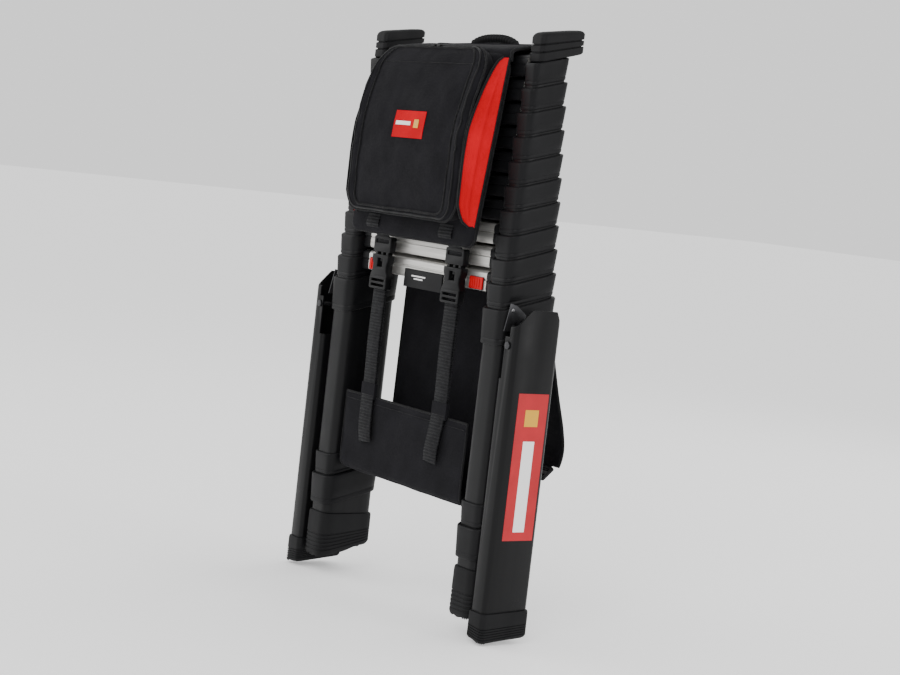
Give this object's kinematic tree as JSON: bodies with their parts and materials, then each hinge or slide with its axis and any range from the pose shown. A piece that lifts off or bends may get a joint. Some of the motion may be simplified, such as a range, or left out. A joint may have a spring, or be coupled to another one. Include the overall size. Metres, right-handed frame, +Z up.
{
  "type": "telescoping ladder",
  "caption": "Closed telescoping ladder with oval nested stiles, level-set rungs, swing-out stabiliser legs, top bumpers and a buckled carrying harness with tool bag.",
  "frame": {"origin": "middle of the object's box, at the level of the stabiliser legs' soles", "axes": "+Z up along the stiles, -Y the climber's side, +X the ladder's right side"},
  "size_m": [0.564, 0.293, 0.9185],
  "materials": {
    "black_plastic": "satin moulded, faint grain",
    "black_aluminium": "black powder coated aluminium, satin",
    "silver_aluminium": "anodised satin extrusion",
    "red_plastic": "satin moulded",
    "black_rubber": "matt moulded rubber",
    "steel": "zinc plated",
    "black_fabric": "coated woven polyester",
    "red_fabric": "coated woven polyester",
    "webbing": "ribbed webbing"
  },
  "bodies": {
    "base_section": {"stile_01_left": "black_plastic", "stile_01_right": "black_plastic", "rung_01": "silver_aluminium", "rung_plate": "black_plastic", "stile_foot_left": "black_rubber", "stile_foot_right": "black_rubber", "leg_bracket_left": "black_plastic", "leg_bracket_right": "black_plastic", "leg_clip_band_left": "black_plastic", "leg_clip_band_right": "black_plastic", "link_plate_left": "steel", "link_plate_right": "steel", "lower_flap": "black_fabric", "front_strap_left": "webbing", "front_strap_right": "webbing", "buckle_left": "black_plastic", "buckle_right": "black_plastic"},
    "section_02": {"stile_02_left": "black_plastic", "stile_02_right": "black_plastic", "rung_02": "silver_aluminium"},
    "section_03": {"stile_03_left": "black_plastic", "stile_03_right": "black_plastic", "rung_03": "silver_aluminium"},
    "section_04": {"stile_04_left": "black_plastic", "stile_04_right": "black_plastic", "rung_04": "silver_aluminium"},
    "section_05": {"stile_05_left": "black_plastic", "stile_05_right": "black_plastic", "rung_05": "silver_aluminium"},
    "section_06": {"stile_06_left": "black_plastic", "stile_06_right": "black_plastic", "rung_06": "silver_aluminium"},
    "section_07": {"stile_07_left": "black_plastic", "stile_07_right": "black_plastic", "rung_07": "silver_aluminium"},
    "section_08": {"stile_08_left": "black_plastic", "stile_08_right": "black_plastic", "rung_08": "silver_aluminium"},
    "section_09": {"stile_09_left": "black_plastic", "stile_09_right": "black_plastic", "rung_09": "silver_aluminium"},
    "section_10": {"stile_10_left": "black_plastic", "stile_10_right": "black_plastic", "rung_10": "silver_aluminium", "top_cap_left": "black_rubber", "top_cap_right": "black_rubber", "tool_bag": "black_fabric", "back_panel": "black_fabric", "shoulder_strap_left": "black_fabric", "shoulder_strap_right": "black_fabric", "carry_handle": "black_rubber"},
    "stabiliser_leg_left": {"leg_tube_left": "black_aluminium", "leg_boot_left": "black_rubber", "leg_pin_left": "steel"},
    "release_button_left": {"release_button_left": "red_plastic"},
    "stabiliser_leg_right": {"leg_tube_right": "black_aluminium", "leg_boot_right": "black_rubber", "leg_pin_right": "steel"},
    "release_button_right": {"release_button_right": "red_plastic"}
  },
  "joints": [
    {"name": "section_02_slide", "type": "slide", "parent": "base_section", "child": "section_02", "axis": [0, 0, 1], "range_m": [0, 0.254]},
    {"name": "section_03_slide", "type": "slide", "parent": "section_02", "child": "section_03", "axis": [0, 0, 1], "range_m": [0, 0.254]},
    {"name": "section_04_slide", "type": "slide", "parent": "section_03", "child": "section_04", "axis": [0, 0, 1], "range_m": [0, 0.254]},
    {"name": "section_05_slide", "type": "slide", "parent": "section_04", "child": "section_05", "axis": [0, 0, 1], "range_m": [0, 0.254]},
    {"name": "section_06_slide", "type": "slide", "parent": "section_05", "child": "section_06", "axis": [0, 0, 1], "range_m": [0, 0.254]},
    {"name": "section_07_slide", "type": "slide", "parent": "section_06", "child": "section_07", "axis": [0, 0, 1], "range_m": [0, 0.254]},
    {"name": "section_08_slide", "type": "slide", "parent": "section_07", "child": "section_08", "axis": [0, 0, 1], "range_m": [0, 0.254]},
    {"name": "section_09_slide", "type": "slide", "parent": "section_08", "child": "section_09", "axis": [0, 0, 1], "range_m": [0, 0.254]},
    {"name": "section_10_slide", "type": "slide", "parent": "section_09", "child": "section_10", "axis": [0, 0, 1], "range_m": [0, 0.254]},
    {"name": "stabiliser_leg_left_hinge", "type": "hinge", "parent": "base_section", "child": "stabiliser_leg_left", "pos_m": [-0.262, -0.0545, 0.445], "axis": [0, 1, 0], "range_deg": [0, 20]},
    {"name": "release_button_left_slide", "type": "slide", "parent": "base_section", "child": "release_button_left", "axis": [1, 0, 0], "range_m": [0, 0.008], "stiffness_N_per_m": 250},
    {"name": "stabiliser_leg_right_hinge", "type": "hinge", "parent": "base_section", "child": "stabiliser_leg_right", "pos_m": [0.262, -0.0545, 0.445], "axis": [0, -1, 0], "range_deg": [0, 20]},
    {"name": "release_button_right_slide", "type": "slide", "parent": "base_section", "child": "release_button_right", "axis": [-1, 0, 0], "range_m": [0, 0.008], "stiffness_N_per_m": 250}
  ]
}
